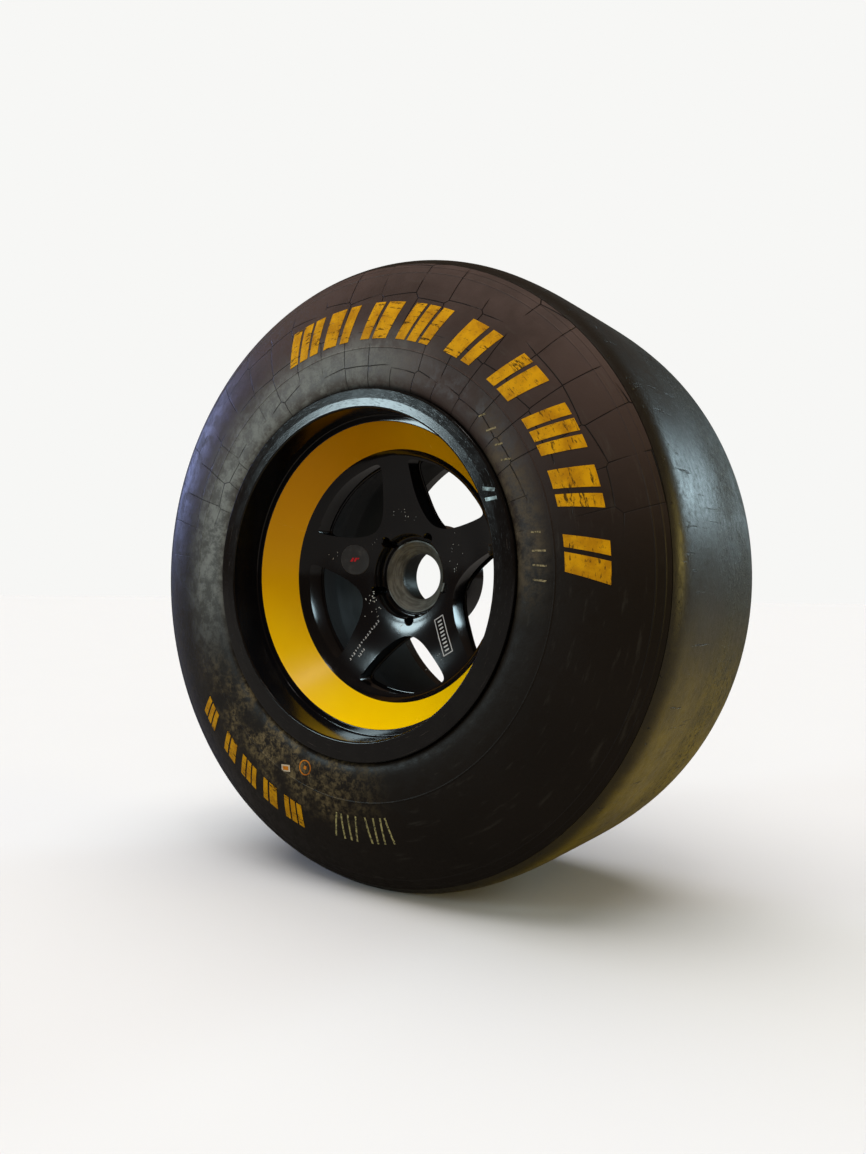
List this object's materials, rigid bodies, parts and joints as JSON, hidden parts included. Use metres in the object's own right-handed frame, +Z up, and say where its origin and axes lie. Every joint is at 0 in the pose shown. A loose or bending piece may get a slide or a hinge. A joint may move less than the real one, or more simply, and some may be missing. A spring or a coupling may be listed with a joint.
{
  "type": "racing wheel rim with slick tyre",
  "caption": "Dished spoked centre-lock racing rim in gloss black with a yellow band, fitted with a wide slick tyre; its valve pin presses in and its valve cap unscrews.",
  "frame": {"origin": "centre of the wheel: on the axle line, midway between the two rim lips", "axes": "+Y along the axle towards the car, so the dished outboard side faces -Y; +Z up; +X to the right seen from outboard"},
  "size_m": [0.635, 0.2921, 0.635],
  "materials": {
    "rim_lacquer": "gloss",
    "barrel_grey": "matte",
    "seat_metal": "satin",
    "steel": "satin",
    "tread_rubber": "matte",
    "sidewall_rubber": "satin",
    "inner_rubber": "matte",
    "brass": "satin",
    "seal_rubber": "matte",
    "cap_plastic": "matte",
    "sticker_grey": "satin",
    "label_white": "satin",
    "foil": "satin"
  },
  "bodies": {
    "wheel": {"outboard_barrel": "rim_lacquer", "hub_boss": "rim_lacquer", "spoke_1": "rim_lacquer", "spoke_2": "rim_lacquer", "spoke_3": "rim_lacquer", "spoke_4": "rim_lacquer", "spoke_5": "rim_lacquer", "spoke_ring": "rim_lacquer", "inboard_barrel": "barrel_grey", "nut_seat_insert": "seat_metal", "drive_bush_1": "steel", "drive_bush_2": "steel", "drive_bush_3": "steel", "drive_bush_4": "steel", "drive_bush_5": "steel", "tread": "tread_rubber", "outer_belt": "inner_rubber", "inner_belt": "inner_rubber", "carcass_ply": "inner_rubber", "inner_liner": "inner_rubber", "inboard_sidewall": "sidewall_rubber", "outboard_sidewall": "sidewall_rubber", "inboard_bead_core": "steel", "outboard_bead_core": "steel", "inboard_bead_filler": "inner_rubber", "outboard_bead_filler": "inner_rubber", "valve_stem": "brass", "valve_grommet": "seal_rubber", "valve_washer": "steel", "valve_nut": "steel", "valve_core_body": "brass", "round_sticker": "sticker_grey", "spoke_label": "label_white", "lip_strip_1": "foil", "lip_strip_2": "foil"},
    "valve_pin": {"valve_core_pin": "brass", "valve_core_spring": "steel"},
    "cap_seal": {"valve_cap_seal": "seal_rubber"},
    "valve_cap": {"valve_cap": "cap_plastic"}
  },
  "joints": [
    {"name": "valve_pin_press", "type": "slide", "parent": "wheel", "child": "valve_pin", "axis": [0.8101, 0.5686, 0.1428], "range_m": [0, 0.0015], "stiffness_N_per_m": 1000},
    {"name": "valve_cap_lift", "type": "slide", "parent": "wheel", "child": "cap_seal", "axis": [-0.8101, -0.5686, -0.1428], "range_m": [0, 0.00397]},
    {"name": "valve_cap_turn", "type": "hinge", "parent": "cap_seal", "child": "valve_cap", "pos_m": [0.14029, -0.09602, 0.02474], "axis": [-0.8101, -0.5686, -0.1428], "range_deg": [0, 1800]}
  ],
  "couplings": [
    {"joint": "valve_cap_turn", "follows": "valve_cap_lift", "rad_per_m": 7915.8}
  ]
}
